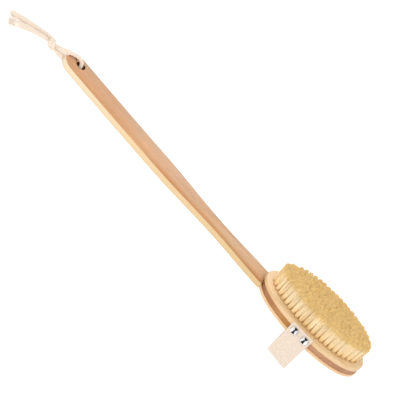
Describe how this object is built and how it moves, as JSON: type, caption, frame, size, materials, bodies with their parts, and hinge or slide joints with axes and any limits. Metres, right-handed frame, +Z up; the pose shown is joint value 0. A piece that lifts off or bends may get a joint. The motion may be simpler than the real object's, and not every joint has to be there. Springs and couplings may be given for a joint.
{
  "type": "body dry brush",
  "caption": "Long-handled wooden body brush with an oval head of bristle tufts, a fabric hand strap behind the head, a pull-out handle and a knotted hanging cord.",
  "frame": {"origin": "centre of the hand strap's flat underside, on which the head stands with its bristles up", "axes": "+X along the brush from the handle to the tip of the head, +Y to the left across the head, +Z up"},
  "size_m": [0.4775, 0.0708, 0.0795],
  "materials": {
    "light_wood": "smooth sealed light beech",
    "handle_wood": "smooth sealed beech, slightly warmer",
    "dark_wood": "satin reddish brown",
    "bristle": "stiff cream bristle, tan at the tips",
    "webbing": "woven cream cotton webbing",
    "chrome": "bright dome",
    "cotton": "soft twisted cream cotton cord"
  },
  "bodies": {
    "head": {"face_board": "light_wood", "core_board": "dark_wood", "back_board": "light_wood", "bristle_row_1": "bristle", "bristle_row_2": "bristle", "bristle_row_3": "bristle", "bristle_row_4": "bristle", "hand_strap": "webbing", "strap_nail_near_1": "chrome", "strap_nail_near_2": "chrome", "strap_nail_far_1": "chrome", "strap_nail_far_2": "chrome"},
    "handle": {"handle": "handle_wood", "cord_loop": "cotton", "cord_knot": "cotton", "cord_tail_1": "cotton", "cord_tail_2": "cotton"}
  },
  "joints": [
    {"name": "handle_pull", "type": "slide", "parent": "head", "child": "handle", "axis": [-0.9906, 0, -0.1365], "range_m": [0, 0.045]}
  ]
}
